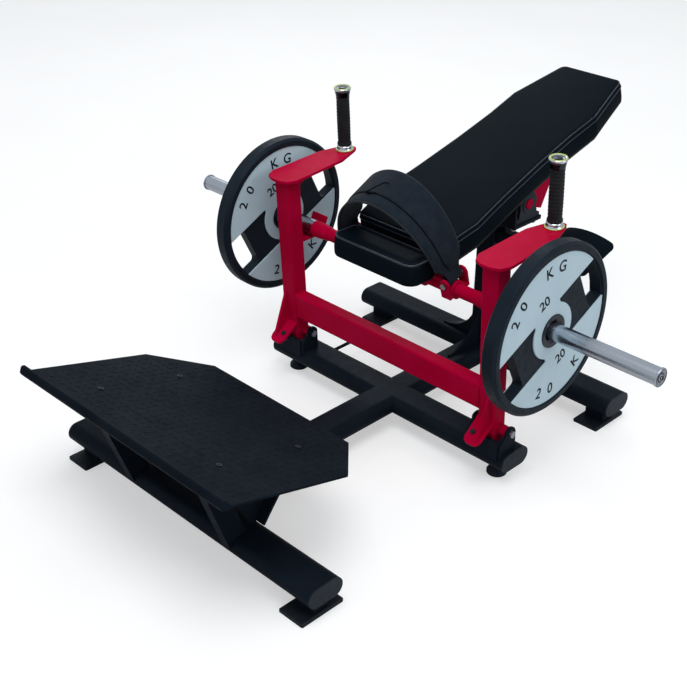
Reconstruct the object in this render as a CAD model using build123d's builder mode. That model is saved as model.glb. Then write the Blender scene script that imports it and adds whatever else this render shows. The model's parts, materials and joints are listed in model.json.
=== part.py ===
"""Plate-loaded hip thrust machine.

Frame: X is the width of the machine (+X is the left hand side of its user), Y is its length
(+Y from the foot platform towards the head end of the back pad) and Z is up from the floor.
All lengths are millimetres and all angles are degrees.
"""
from build123d import *
from math import atan2, cos, degrees, hypot, radians, sin
import os

# ---------------------------------------------------------------- driving dimensions
TUBE_W, TUBE_H, TUBE_WALL = 104.0, 52.0, 3.0      # flat-oval tube of the floor frame
BASE_Z = 68.0                                     # centre height of the floor frame
TOP_Z = BASE_Z + TUBE_H / 2                       # its flat upper side
LOW_Z = BASE_Z - TUBE_H / 2
FRONT_Y, MID_Y, REAR_Y = -666.5, 38.5, 447.5     # centres of the three cross members
FRONT_HALF, MID_HALF, REAR_HALF = 463.0, 436.0, 470.0
CAP_T = 4.0                                       # end cap flange

PAD_L, PAD_W, PAD_T = 130.0, 78.0, 10.0           # rectangular foot pads
PAD_X = 414.5
LEVEL_X, LEVEL_R = 380.0, 27.0                    # round levelling feet

PLAT_TILT = 15.5                                  # foot platform falls towards the seat
PLAT_Y, PLAT_Z = -756.5, 335.0                    # a point on its tread surface
PLAT_T = 6.0
PLAT_HALF, PLAT_BACK_HALF = 376.0, 250.0

POST = 60.0                                       # square rear post
POST_Y, POST_TOP = 439.5, 487.0
PIVOT_Y, PIVOT_Z, PIVOT_R = 467.5, 548.0, 15.0    # axis the lever turns about
BLOCK_X, BLOCK_W = 87.0, 24.0                     # pillow blocks on the shelf
SHELF_T = 10.0
SHAFT_GAP = 0.05                                  # radial running clearance

BAR_Y, BAR_Z, BAR_R = 60.5, 463.0, 18.0          # lift bar
BAR_HALF = 327.0
SPINDLE_R, SLEEVE_R, SLEEVE_END = 14.0, 22.0, 797.0

RACK_X, RACK_Y, RACK_Z = 366.0, 27.5, 146.0      # hinge of the swinging rack
RACK_LEAN = 3.5                                   # it leans towards the platform at rest
UP_W, UP_D = 52.0, 48.0                           # upright tube
UP_CENTRE = -8.0                                  # its centre line, ahead of the hinge
TOP_PLATE_Z = 489.0                               # top face of the top plates, above the hinge
HANDLE_Y = 214.0
TUBE_CORNER = 5.0

PLATE_R, PLATE_T, PLATE_X = 225.0, 44.0, 454.0    # weight plate, inner face at PLATE_X
PLATE_BORE, PLATE_FACE_R, PLATE_HUB_R = 24.6, 202.0, 74.0
BAND_HALF, BAND_ANGLE = 66.0, 26.3                # recessed band across the plate
SLOT_R0 = 138.0                                   # inner edge of its grip slots

PAD_TILT = 16.5                                   # incline of the back pad at rest
PAD_Y0, PAD_Z0 = 73.5, 578.5                     # hip end of its upper face
PAD_LEN, CUSHION_T, BOARD_T = 821.1, 66.0, 12.0
PAD_START = -30.0                                 # its hip end, along the pad
PAD_PLAN = [(150, PAD_START), (157, 20), (166, 92), (154, 220), (144, 380), (140, 520), (144, 635),
            (103, PAD_LEN)]                       # half width and place along the pad

CLIP_X, PIN_Y, PIN_Z = 184.0, 55.3, 494.0         # belt clips on the lift bar
EAR_Y0, EAR_Y1 = 32.0, 38.0                       # their ears, either side of the belt end
BELT_TILT, BELT_SHEAR = 16.0, 10.6                # the arch leans, and its crown leans further

os.makedirs("parts", exist_ok=True)


# ---------------------------------------------------------------- helpers
def tilted(y, z, angle, x=0.0):
    """A plane whose x runs along X and whose normal leans back from +Z by angle about X."""
    a = radians(angle)
    return Plane(origin=(x, y, z), x_dir=(1, 0, 0), z_dir=(0, -sin(a), cos(a)))


def side_of(plane, x=0.0, lift=0.0):
    """The lengthwise upright plane of a tilted plane: its x runs along, its y runs up."""
    return Plane(origin=plane.from_local_coords((x, 0, lift)), x_dir=plane.y_dir, z_dir=(1, 0, 0))


def slot_bar(plane, length, grow=0.0):
    """A solid flat-oval bar that starts on the plane and runs along its normal."""
    with BuildPart() as bar:
        with BuildSketch(plane):
            SlotOverall(TUBE_W + 2 * grow, TUBE_H + 2 * grow)
        extrude(amount=length)
    return bar.part


def across(y, half, grow=0.0):
    """A flat-oval bar along X, centred on the machine."""
    return slot_bar(Plane(origin=(-half, y, BASE_Z), x_dir=(0, 1, 0), z_dir=(1, 0, 0)), 2 * half, grow)


def along(y0, y1, grow=0.0):
    """A flat-oval bar along Y."""
    return slot_bar(Plane(origin=(0, y0, BASE_Z), x_dir=(-1, 0, 0), z_dir=(0, 1, 0)), y1 - y0, grow)


def rod(radius, start, end):
    """A round solid between two points."""
    d = Vector(*end) - Vector(*start)
    with BuildPart() as r:
        with BuildSketch(Plane(origin=start, z_dir=d)):
            Circle(radius)
        extrude(amount=d.length)
    return r.part


RACK = tilted(RACK_Y, RACK_Z, RACK_LEAN)
PLATFORM = tilted(PLAT_Y, PLAT_Z, -PLAT_TILT)
PAD = tilted(PAD_Y0, PAD_Z0, PAD_TILT)
BELT = tilted(PIN_Y, PIN_Z, BELT_TILT)
REST = tilted(POST_Y, 492.0, 17.0)                # elbow rests lie parallel to the pad
SIDES = (-1, 1)

# ================================================================ floor frame (base)
with BuildPart() as spine_beam:
    add(along(FRONT_Y, REAR_Y))
    add(along(FRONT_Y, REAR_Y, -TUBE_WALL), mode=Mode.SUBTRACT)
    add(across(FRONT_Y, FRONT_HALF), mode=Mode.SUBTRACT)
    add(across(REAR_Y, REAR_HALF), mode=Mode.SUBTRACT)

with BuildPart() as front_cross_member:
    add(across(FRONT_Y, FRONT_HALF - CAP_T))
    add(across(FRONT_Y, FRONT_HALF, -TUBE_WALL), mode=Mode.SUBTRACT)

with BuildPart() as middle_cross_member:
    add(across(MID_Y, MID_HALF - CAP_T))
    add(across(MID_Y, MID_HALF, -TUBE_WALL), mode=Mode.SUBTRACT)
    add(along(MID_Y - 80, MID_Y + 80), mode=Mode.SUBTRACT)
    with Locations(*[(s * LEVEL_X, MID_Y, LOW_Z) for s in SIDES]):
        Cylinder(6.1, 12, mode=Mode.SUBTRACT)

with BuildPart() as rear_cross_member:
    add(across(REAR_Y, REAR_HALF - CAP_T))
    add(across(REAR_Y, REAR_HALF, -TUBE_WALL), mode=Mode.SUBTRACT)

with BuildPart() as member_end_caps:
    for y, half in ((FRONT_Y, FRONT_HALF), (MID_Y, MID_HALF), (REAR_Y, REAR_HALF)):
        for s in SIDES:
            face = Plane(origin=(s * (half - CAP_T), y, BASE_Z), x_dir=(0, 1, 0), z_dir=(s, 0, 0))
            plug = Plane(origin=(s * (half - CAP_T), y, BASE_Z), x_dir=(0, 1, 0), z_dir=(-s, 0, 0))
            add(slot_bar(face, CAP_T))
            add(slot_bar(plug, 16, -TUBE_WALL))

with BuildPart() as foot_risers:
    for y in (FRONT_Y, REAR_Y):
        for s in SIDES:
            with BuildSketch(Plane.XY.offset(PAD_T)):
                with Locations((s * PAD_X, y)):
                    RectangleRounded(62, 46, 5)
            extrude(amount=LOW_Z - PAD_T)

with BuildPart() as foot_pads:
    for y in (FRONT_Y, REAR_Y):
        for s in SIDES:
            with BuildSketch():
                with Locations((s * PAD_X, y)):
                    RectangleRounded(PAD_W, PAD_L, 4)
            extrude(amount=PAD_T)
    chamfer(foot_pads.faces().group_by(Axis.Z)[-1].edges(), 2.5)


def level_foot(side):
    """A screw-in levelling foot: bell-shaped base and a stem into the cross member."""
    with BuildPart() as foot:
        with BuildSketch(Plane.XZ.offset(-MID_Y)):
            with BuildLine():
                x = side * LEVEL_X
                Polyline((x, 0), (x + LEVEL_R - 2, 0), (x + LEVEL_R, 2), (x + LEVEL_R, 9),
                         (x + 24, 14), (x + 17, 22), (x + 12, 29), (x + 10, 33), (x + 6, 33),
                         (x + 6, 66), (x, 66), close=True)
            make_face()
        revolve(axis=Axis((x, MID_Y, 0), (0, 0, 1)))
    return foot


level_foot_left = level_foot(-1)
level_foot_right = level_foot(1)

with BuildPart() as rear_post:
    with BuildSketch(Plane.XY.offset(BASE_Z)):
        with Locations((0, POST_Y)):
            RectangleRounded(POST, POST, 6)
            RectangleRounded(POST - 8, POST - 8, 3, mode=Mode.SUBTRACT)
    extrude(amount=POST_TOP - BASE_Z)
    add(across(REAR_Y, 100), mode=Mode.SUBTRACT)
    add(along(POST_Y - 90, REAR_Y), mode=Mode.SUBTRACT)

with BuildPart() as post_gussets:
    for s in SIDES:
        with BuildSketch(Plane.XZ.offset(-(POST_Y + 14))):
            with BuildLine():
                Line((s * POST / 2, TOP_Z), (s * POST / 2, TOP_Z + 104))
                ThreePointArc((s * POST / 2, TOP_Z + 104), (s * 62, TOP_Z + 38), (s * 148, TOP_Z + 5))
                Polyline((s * 148, TOP_Z + 5), (s * 148, TOP_Z), (s * POST / 2, TOP_Z))
            make_face()
        extrude(amount=28)
    front = POST_Y - POST / 2
    with BuildSketch(Plane.YZ.offset(-4)):
        with BuildLine():
            Line((front, TOP_Z), (front, TOP_Z + 120))
            ThreePointArc((front, TOP_Z + 120), (front - 42, TOP_Z + 44), (front - 132, TOP_Z + 6))
            Polyline((front - 132, TOP_Z + 6), (front - 132, TOP_Z), (front, TOP_Z))
        make_face()
    extrude(amount=8)

SHELF_Z = POST_TOP + SHELF_T
with BuildPart() as bearing_shelf:
    with BuildSketch(Plane.XY.offset(POST_TOP)):
        with Locations((0, POST_Y + 14)):
            Rectangle(2 * BLOCK_X + BLOCK_W + 8, 88)
        with Locations(*[(s * BLOCK_X, PIVOT_Y) for s in SIDES]):
            RectangleRounded(BLOCK_W + 8, 122, 4)
    extrude(amount=SHELF_T)
    with BuildSketch(Plane.XZ.offset(-(PIVOT_Y - 61))):
        for s in SIDES:
            with Locations((s * BLOCK_X, SHELF_Z)):
                Rectangle(BLOCK_W + 8, 52, align=(Align.CENTER, Align.MIN))
    extrude(amount=-7)
    with Locations(*[(s * BLOCK_X, PIVOT_Y + d, POST_TOP) for s in SIDES for d in (-43, 43)]):
        Cylinder(5.2, 60, mode=Mode.SUBTRACT)

BLOCK_H = PIVOT_Z - SHELF_Z
with BuildPart() as pillow_blocks:
    for s in SIDES:
        side = Plane(origin=(s * BLOCK_X - BLOCK_W / 2, PIVOT_Y, PIVOT_Z), x_dir=(0, 1, 0), z_dir=(1, 0, 0))
        with BuildSketch(side) as outline:
            with Locations((0, -BLOCK_H + 7)):
                RectangleRounded(106, 14, 4)
            Circle(36)
            Polygon((-40, -BLOCK_H + 12), (40, -BLOCK_H + 12), (34, -10), (-34, -10), align=None)
            Circle(26, mode=Mode.SUBTRACT)
        extrude(amount=BLOCK_W)
    with Locations(*[(s * BLOCK_X, PIVOT_Y + d, SHELF_Z) for s in SIDES for d in (-43, 43)]):
        Cylinder(5.2, 60, mode=Mode.SUBTRACT)
        with Locations((0, 0, 24)):
            Cylinder(10, 20, mode=Mode.SUBTRACT)

with BuildPart() as bearing_inserts:
    for s in SIDES:
        with BuildSketch(Plane.YZ.offset(s * BLOCK_X - BLOCK_W / 2 - 2)):
            with Locations((PIVOT_Y, PIVOT_Z)):
                Circle(26)
                Circle(PIVOT_R + SHAFT_GAP, mode=Mode.SUBTRACT)
        extrude(amount=BLOCK_W + 4)

with BuildPart() as bearing_bolts:
    for s in SIDES:
        for d in (-43, 43):
            with BuildSketch(Plane.XY.offset(SHELF_Z + 14)):
                with Locations((s * BLOCK_X, PIVOT_Y + d)):
                    RegularPolygon(8.5, 6)
            extrude(amount=6.5)
            with BuildSketch(Plane.XY.offset(POST_TOP - 12)):
                with Locations((s * BLOCK_X, PIVOT_Y + d)):
                    Circle(5)
            extrude(amount=SHELF_T + 12 + 14)
            with BuildSketch(Plane.XY.offset(POST_TOP - 8)):
                with Locations((s * BLOCK_X, PIVOT_Y + d)):
                    RegularPolygon(8.5, 6)
            extrude(amount=8)

# elbow rests on outriggers from the rear post
REST_X, REST_R, REST_HALF, REST_LEN = 278.0, 205.0, 84.0, 150.0
with BuildPart() as elbow_rests:
    for s in SIDES:
        with BuildSketch(Plane(origin=REST.from_local_coords((0, REST_LEN / 2, 0)), x_dir=(1, 0, 0),
                               z_dir=REST.y_dir * -1)):
            with Locations((s * REST_X, -REST_R)):
                Circle(REST_R)
                Circle(REST_R - 15, mode=Mode.SUBTRACT)
            with Locations((s * REST_X, 20)):
                Rectangle(2 * REST_HALF, 150, mode=Mode.INTERSECT)
        extrude(amount=REST_LEN)

with BuildPart() as elbow_rest_arms:
    for s in SIDES:
        with BuildSketch(Plane.YZ.offset(s * POST / 2)):
            with Locations((POST_Y, 440)):
                RectangleRounded(40, 40, 6)
        extrude(amount=s * (REST_X - POST / 2))
        with BuildSketch(Plane.XY.offset(460)):
            with Locations((s * (REST_X - 20), POST_Y)):
                RectangleRounded(36, 36, 5)
        extrude(amount=17)
    add(elbow_rests.part, mode=Mode.SUBTRACT)

# ---------------------------------------------------------------- foot platform
PLAT_FRONT, PLAT_BACK, PLAT_SIDE = -97.5, 386.0, 253.0    # along the slope from PLAT_Y, PLAT_Z
STRUT_X = 185.0
BOLTS = [(s * 220, y) for s in SIDES for y in (0, 243)]
with BuildPart() as foot_platform:
    with BuildSketch(PLATFORM.offset(-PLAT_T)):
        with BuildLine():
            Polyline((-PLAT_HALF, PLAT_FRONT), (PLAT_HALF, PLAT_FRONT), (PLAT_HALF, PLAT_SIDE),
                     (PLAT_BACK_HALF, PLAT_BACK), (-PLAT_BACK_HALF, PLAT_BACK),
                     (-PLAT_HALF, PLAT_SIDE), close=True)
        make_face()
    extrude(amount=PLAT_T)
    lip = Plane(origin=PLATFORM.from_local_coords((-PLAT_HALF, PLAT_FRONT, 0)),
                x_dir=PLATFORM.y_dir, z_dir=(1, 0, 0))
    with BuildSketch(lip):                                     # upturned front lip
        Polygon((0, 0), (-17.5, 14.3), (-23.8, 14.6), (-28, 10.9), (-29.3, -3), (-24.3, -9.9),
                (-5.3, -10.9), (0, -PLAT_T), align=None)
    extrude(amount=2 * PLAT_HALF)
    with BuildSketch(PLATFORM):
        with Locations(*BOLTS):
            Circle(5.2)
    extrude(amount=-PLAT_T, mode=Mode.SUBTRACT)

with BuildPart() as platform_struts:
    under = PLATFORM.offset(-PLAT_T)
    y, z = FRONT_Y, BASE_Z
    for s in SIDES:
        with BuildSketch(Plane.YZ.offset(s * STRUT_X - 15)):   # front leg, a 58 x 30 tube
            Polygon((y - 54, z), (y + 4, z), (y - 102, z + 300), (y - 160, z + 300), align=None)
        extrude(amount=30)
        with BuildSketch(Plane.YZ.offset(s * STRUT_X - 4)):    # rear gusset plate
            Polygon((y + 29, z + 14), (y + 9, z + 45), (y - 14, z + 84), (y - 44, z + 134),
                    (y - 44, z + 300), (y + 175, z + 300), (y + 175, z + 211), (y + 155, z + 185),
                    (y + 89, z + 99), (y + 59, z + 61), (y + 37, z + 31), align=None)
        extrude(amount=8)
        with BuildSketch(Plane.YZ.offset(s * STRUT_X)):        # its folded rear edge
            Polygon((y + 37, z + 31), (y + 59, z + 61), (y + 89, z + 99), (y + 155, z + 185),
                    (y + 175, z + 211), (y + 170, z + 215), (y + 150, z + 189), (y + 84, z + 103),
                    (y + 54, z + 65), (y + 32, z + 35), align=None)
        extrude(amount=s * 34)
        with BuildSketch(under):
            for d in (0, 243):
                with Locations((s * (STRUT_X + 27), d)):
                    Rectangle(54, 64)
        extrude(amount=-5)
    with BuildSketch(under):
        Rectangle(900, 1200)
    extrude(amount=200, mode=Mode.SUBTRACT)
    with BuildSketch(under):
        with Locations(*BOLTS):
            Circle(5.2)
    extrude(amount=-5, mode=Mode.SUBTRACT)
    with BuildSketch(under.offset(-5)):                        # room for the nuts
        with Locations(*BOLTS):
            Circle(10)
    extrude(amount=-40, mode=Mode.SUBTRACT)
    add(across(FRONT_Y, FRONT_HALF), mode=Mode.SUBTRACT)

with BuildPart() as platform_bolts:
    for x, y in BOLTS:
        with BuildSketch(PLATFORM):
            with Locations((x, y)):
                Circle(7)
        extrude(amount=2.5)
        with BuildSketch(PLATFORM.offset(2.5)):
            with Locations((x, y)):
                RegularPolygon(3.5, 6)
        extrude(amount=-1.8, mode=Mode.SUBTRACT)
        with BuildSketch(PLATFORM):
            with Locations((x, y)):
                Circle(5)
        extrude(amount=-28)
        with BuildSketch(PLATFORM.offset(-PLAT_T - 5)):
            with Locations((x, y)):
                RegularPolygon(8.5, 6)
        extrude(amount=-8)

with BuildPart() as band_peg:
    add(rod(5, (-300, MID_Y + TUBE_W / 2 - 1, 60), (-300, MID_Y + TUBE_W / 2 + 128, 60)))
    with Locations((-300, MID_Y + TUBE_W / 2 + 128, 60)):
        Sphere(8)
    add(across(MID_Y, MID_HALF), mode=Mode.SUBTRACT)

# ---------------------------------------------------------------- rack hinge on the middle member
EAR_IN, EAR_T = 50.0, 8.0
with BuildPart() as hinge_clevises:
    for s in SIDES:
        for e in SIDES:
            x0 = s * RACK_X + e * EAR_IN + (0 if e > 0 else -EAR_T)
            with BuildSketch(Plane.YZ.offset(x0)):
                with Locations((RACK_Y, RACK_Z)):
                    Circle(19)
                Polygon((RACK_Y - 19, RACK_Z), (RACK_Y + 19, RACK_Z), (RACK_Y + 22, TOP_Z - 8),
                        (RACK_Y - 40, TOP_Z - 8), (RACK_Y - 40, TOP_Z + 30), align=None)
                with Locations((RACK_Y, RACK_Z)):
                    Circle(8, mode=Mode.SUBTRACT)
            extrude(amount=EAR_T)
        with BuildSketch(Plane.XY.offset(BASE_Z + 12)):
            with Locations((s * RACK_X, MID_Y - TUBE_W / 2 + 1)):
                Rectangle(2 * EAR_IN, 8)
        extrude(amount=54)
    add(across(MID_Y, MID_HALF), mode=Mode.SUBTRACT)

with BuildPart() as hinge_bolts:
    for s in SIDES:
        x = s * RACK_X
        add(rod(8, (x - EAR_IN - EAR_T, RACK_Y, RACK_Z), (x + EAR_IN + EAR_T, RACK_Y, RACK_Z)))
        for e in SIDES:
            with BuildSketch(Plane(origin=(x + e * (EAR_IN + EAR_T), RACK_Y, RACK_Z), z_dir=(e, 0, 0))):
                RegularPolygon(10, 6)
            extrude(amount=7)

# ================================================================ swinging rack
RACK_TUBE_TOP = TOP_PLATE_Z - 8


def upright(side):
    """One rounded square upright, from its hinge barrel to its top plate."""
    with BuildPart() as tube:
        with BuildSketch(RACK.offset(-30)):
            with Locations((side * RACK_X, UP_CENTRE)):
                RectangleRounded(UP_W, UP_D, TUBE_CORNER)
        extrude(amount=RACK_TUBE_TOP + 30)
        with BuildSketch(RACK.offset(40)):
            with Locations((side * RACK_X, UP_CENTRE)):
                RectangleRounded(UP_W - 6, UP_D - 6, TUBE_CORNER - 3)
        extrude(amount=RACK_TUBE_TOP - 40, mode=Mode.SUBTRACT)
        add(rod(8 + SHAFT_GAP, (side * RACK_X - 60, RACK_Y, RACK_Z), (side * RACK_X + 60, RACK_Y, RACK_Z)),
            mode=Mode.SUBTRACT)
    return tube


upright_left = upright(-1)
upright_right = upright(1)

with BuildPart() as hinge_barrels:
    for s in SIDES:
        for e in SIDES:
            x0 = s * RACK_X + e * UP_W / 2
            with BuildSketch(Plane(origin=(x0, RACK_Y, RACK_Z), x_dir=(0, 1, 0), z_dir=(e, 0, 0))):
                Circle(15)
                Circle(8 + SHAFT_GAP, mode=Mode.SUBTRACT)
            extrude(amount=EAR_IN - UP_W / 2 - 0.4)

BEAM_Z = 92.0
with BuildPart() as rack_beam:
    with BuildSketch(side_of(RACK, -RACK_X + UP_W / 2)):
        with Locations((UP_CENTRE - 3, BEAM_Z)):
            RectangleRounded(40, 76, 6)
            RectangleRounded(34, 70, 3, mode=Mode.SUBTRACT)
    extrude(amount=2 * RACK_X - UP_W)

with BuildPart() as top_plates:
    for s in SIDES:
        with BuildSketch(RACK.offset(RACK_TUBE_TOP)):
            with BuildLine():
                x, y0, y1, y2 = s * RACK_X, -46, 160, 246
                Polyline((x - 50, y0 + 30), (x - 46, y1), (x - 22, y2 - 12), (x - 14, y2),
                         (x + 14, y2), (x + 22, y2 - 12), (x + 46, y1), (x + 50, y0 + 30),
                         (x + 38, y0 + 4), (x + 14, y0 - 6), (x - 14, y0 - 6), (x - 38, y0 + 4),
                         close=True)
            make_face()
            with Locations((x, HANDLE_Y)):
                Circle(10, mode=Mode.SUBTRACT)
        extrude(amount=8)

with BuildPart() as top_gussets:
    for s in SIDES:
        with BuildSketch(side_of(RACK, s * RACK_X - 4)):
            y0 = UP_CENTRE + UP_D / 2
            Polygon((y0, RACK_TUBE_TOP), (y0 + 84, RACK_TUBE_TOP), (y0, RACK_TUBE_TOP - 48), align=None)
        extrude(amount=8)

FRONT_FACE = UP_CENTRE - UP_D / 2
with BuildPart() as toe_plates:
    for s in SIDES:
        x = s * RACK_X
        a, b = (FRONT_FACE, 28), (FRONT_FACE - 62, -12)
        slope = degrees(atan2(a[1] - b[1], a[0] - b[0]))
        toe = Plane(origin=RACK.from_local_coords((x, a[0], a[1])), x_dir=(1, 0, 0),
                    z_dir=(RACK.z_dir * cos(radians(slope)) - RACK.y_dir * sin(radians(slope))))
        run = hypot(a[0] - b[0], a[1] - b[1])
        with BuildSketch(toe):
            Polygon((-27, 8), (27, 8), (25, -run + 16), (20, -run + 5), (12, -run), (-12, -run),
                    (-20, -run + 5), (-25, -run + 16), align=None)
            with Locations((-s * 10, -run * 0.55)):
                Circle(5.2, mode=Mode.SUBTRACT)
        extrude(amount=7)
        with BuildSketch(side_of(RACK, x + s * 12 - 4)):
            Polygon((FRONT_FACE, 128), (FRONT_FACE - 2, 128), (b[0] + 6, b[1] + 10),
                    (a[0], a[1] + 3), align=None)
        extrude(amount=8)
    with BuildSketch(RACK.offset(-30)):
        with Locations(*[(s * RACK_X, UP_CENTRE) for s in SIDES]):
            RectangleRounded(UP_W, UP_D, TUBE_CORNER)
    extrude(amount=RACK_TUBE_TOP + 30, mode=Mode.SUBTRACT)


def toe_plane(side, along_slope, lift):
    """A plane on the sloped toe plate, at the bolt and along the plate's normal."""
    slope = atan2(40, 62)
    y = FRONT_FACE - along_slope * cos(slope)
    z = 28 - along_slope * sin(slope)
    normal = RACK.z_dir * cos(slope) - RACK.y_dir * sin(slope)
    origin = Vector(*RACK.from_local_coords((side * (RACK_X - 10), y, z))) + normal * lift
    return Plane(origin=origin, x_dir=(1, 0, 0), z_dir=normal)


BOLT_RUN = hypot(62, 40) * 0.55
with BuildPart() as rubber_bumpers:
    for s in SIDES:
        with BuildSketch(toe_plane(s, BOLT_RUN, 0)):
            Circle(14)
            Circle(5, mode=Mode.SUBTRACT)
        extrude(amount=-14)

with BuildPart() as bumper_bolts:
    for s in SIDES:
        with BuildSketch(toe_plane(s, BOLT_RUN, 7)):
            RegularPolygon(7.5, 6)
        extrude(amount=4.5)
        with BuildSketch(toe_plane(s, BOLT_RUN, 7)):
            Circle(5)
        extrude(amount=-17)

TRAY_Z = BAR_Z - SLEEVE_R - 3.5
with BuildPart() as bar_trays:
    for s in SIDES:
        y0 = RACK_Y - 26
        with BuildSketch(Plane.YZ.offset(s * RACK_X - 28)):
            Polygon((y0, TRAY_Z), (BAR_Y + 34, TRAY_Z), (BAR_Y + 52, TRAY_Z + 42),
                    (BAR_Y + 58, TRAY_Z + 39), (BAR_Y + 38, TRAY_Z - 7), (y0, TRAY_Z - 7), align=None)
        extrude(amount=56)
    with BuildSketch(RACK.offset(-30)):
        with Locations(*[(s * RACK_X, UP_CENTRE) for s in SIDES]):
            RectangleRounded(UP_W, UP_D, TUBE_CORNER)
        with Locations((0, UP_CENTRE - 50)):
            Rectangle(900, 100 + UP_D - 2 * TUBE_CORNER)
    extrude(amount=RACK_TUBE_TOP + 30, mode=Mode.SUBTRACT)

GRIP_R, GRIP_Z0, GRIP_Z1 = 18.0, TOP_PLATE_Z + 16, TOP_PLATE_Z + 157
with BuildPart() as handle_posts:
    for s in SIDES:
        with BuildSketch(RACK.offset(RACK_TUBE_TOP - 6)):
            with Locations((s * RACK_X, HANDLE_Y)):
                Circle(10)
        extrude(amount=GRIP_Z1 - RACK_TUBE_TOP + 18)

with BuildPart() as handle_grips:
    for s in SIDES:
        with BuildSketch(RACK.offset(GRIP_Z0)):
            with Locations((s * RACK_X, HANDLE_Y)):
                Circle(GRIP_R)
                Circle(10, mode=Mode.SUBTRACT)
        extrude(amount=GRIP_Z1 - GRIP_Z0)

with BuildPart() as handle_ferrules:
    for s in SIDES:
        foot = RACK.offset(TOP_PLATE_Z + 4)
        with BuildSketch(foot):
            with Locations((s * RACK_X, HANDLE_Y)):
                Circle(22)
                Circle(10, mode=Mode.SUBTRACT)
        extrude(amount=12)
        with BuildSketch(RACK.offset(GRIP_Z1)):
            with Locations((s * RACK_X, HANDLE_Y)):
                Circle(18.5)
        with BuildSketch(RACK.offset(GRIP_Z1 + 24)):
            with Locations((s * RACK_X, HANDLE_Y)):
                Circle(22.5)
        loft()
        with BuildSketch(RACK.offset(GRIP_Z1)):
            with Locations((s * RACK_X, HANDLE_Y)):
                Circle(10)
        extrude(amount=12, mode=Mode.SUBTRACT)

with BuildPart() as handle_rings:
    for s in SIDES:
        with BuildSketch(RACK.offset(TOP_PLATE_Z)):
            with Locations((s * RACK_X, HANDLE_Y)):
                Circle(24.5)
                Circle(10, mode=Mode.SUBTRACT)
        extrude(amount=4)
        with BuildSketch(RACK.offset(GRIP_Z1 + 24)):
            with Locations((s * RACK_X, HANDLE_Y)):
                Circle(23.5)
                Circle(14, mode=Mode.SUBTRACT)
        extrude(amount=4)

# ================================================================ lever
HUB_HALF, ARM_HALF, ARM_H = 70.0, 25.0, 44.0
ARM_ANGLE = degrees(atan2(PIVOT_Z - BAR_Z, PIVOT_Y - BAR_Y))
ARM = tilted(PIVOT_Y, PIVOT_Z, ARM_ANGLE)
ARM_LEN = hypot(PIVOT_Y - BAR_Y, PIVOT_Z - BAR_Z)
shaft = rod(PIVOT_R, (-BLOCK_X - 17, PIVOT_Y, PIVOT_Z), (BLOCK_X + 17, PIVOT_Y, PIVOT_Z))
bar_core = rod(BAR_R, (-BAR_HALF, BAR_Y, BAR_Z), (BAR_HALF, BAR_Y, BAR_Z))

with BuildPart() as pivot_shaft:
    add(shaft)
    chamfer(pivot_shaft.edges().filter_by(GeomType.CIRCLE), 1.5)

with BuildPart() as lever_arm:
    with BuildSketch(side_of(ARM, -ARM_HALF)):
        with Locations((-ARM_LEN / 2 + 6, 0)):
            Rectangle(ARM_LEN - 12, ARM_H)
    extrude(amount=2 * ARM_HALF)
    with BuildSketch(Plane.YZ.offset(-HUB_HALF)):
        with Locations((PIVOT_Y, PIVOT_Z)):
            Circle(30)
    extrude(amount=2 * HUB_HALF)
    add(shaft, mode=Mode.SUBTRACT)
    add(bar_core, mode=Mode.SUBTRACT)

pivot_in_pad = PAD.to_local_coords(Vector(0, PIVOT_Y, PIVOT_Z))
BOARD_UNDER = -(CUSHION_T + BOARD_T)
with BuildPart() as pad_brackets:
    for s in SIDES:
        x0 = s * (HUB_HALF - 4) - 4
        with BuildSketch(side_of(PAD, x0)):
            with Locations((pivot_in_pad.Y, pivot_in_pad.Z)):
                Circle(40)
            Polygon((pivot_in_pad.Y - 70, BOARD_UNDER), (pivot_in_pad.Y + 215, BOARD_UNDER),
                    (pivot_in_pad.Y + 82, pivot_in_pad.Z - 78), (pivot_in_pad.Y + 20, pivot_in_pad.Z - 34),
                    (pivot_in_pad.Y - 36, pivot_in_pad.Z - 18), align=None)
            with Locations((pivot_in_pad.Y, pivot_in_pad.Z)):
                Circle(30, mode=Mode.SUBTRACT)
        extrude(amount=8)
    for s in SIDES:
        with BuildSketch(PAD.offset(BOARD_UNDER)):
            with Locations((s * (HUB_HALF - 18), pivot_in_pad.Y + 72)):
                Rectangle(36, 270)
        extrude(amount=-5)


def pad_outline(inset):
    """Plan of the back pad: wide at the hips, a waist, shoulders, then a short taper to the head."""
    right = [(x - inset, min(max(y, PAD_START + inset), PAD_LEN - inset)) for x, y in PAD_PLAN]
    return right + [(-x, y) for x, y in reversed(right)]


with BuildPart() as back_pad_board:
    with BuildSketch(PAD.offset(BOARD_UNDER)) as board_plan:
        with BuildLine():
            Polyline(*pad_outline(10), close=True)
        make_face()
        fillet(board_plan.vertices(), 12)
    extrude(amount=BOARD_T)

with BuildPart() as back_pad:
    with BuildSketch(PAD.offset(-CUSHION_T)) as pad_plan:
        with BuildLine():
            Polyline(*pad_outline(0), close=True)
        make_face()
        fillet(pad_plan.vertices(), 18)
    extrude(amount=CUSHION_T)

with BuildPart() as lift_bar:
    add(bar_core)
    for s in SIDES:
        add(rod(SPINDLE_R, (s * BAR_HALF, BAR_Y, BAR_Z), (s * (SLEEVE_END - 22), BAR_Y, BAR_Z)))

with BuildPart() as bar_collars:
    for s in SIDES:
        with BuildSketch(Plane.XY.offset(BAR_Z)):
            with BuildLine():
                Polyline((s * 268, BAR_Y + BAR_R), (s * 268, BAR_Y + BAR_R + 1.5),
                         (s * 306, BAR_Y + 23), (s * BAR_HALF, BAR_Y + 23),
                         (s * BAR_HALF, BAR_Y + BAR_R), close=True)
            make_face()
        revolve(axis=Axis((0, BAR_Y, BAR_Z), (1, 0, 0)))

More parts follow.
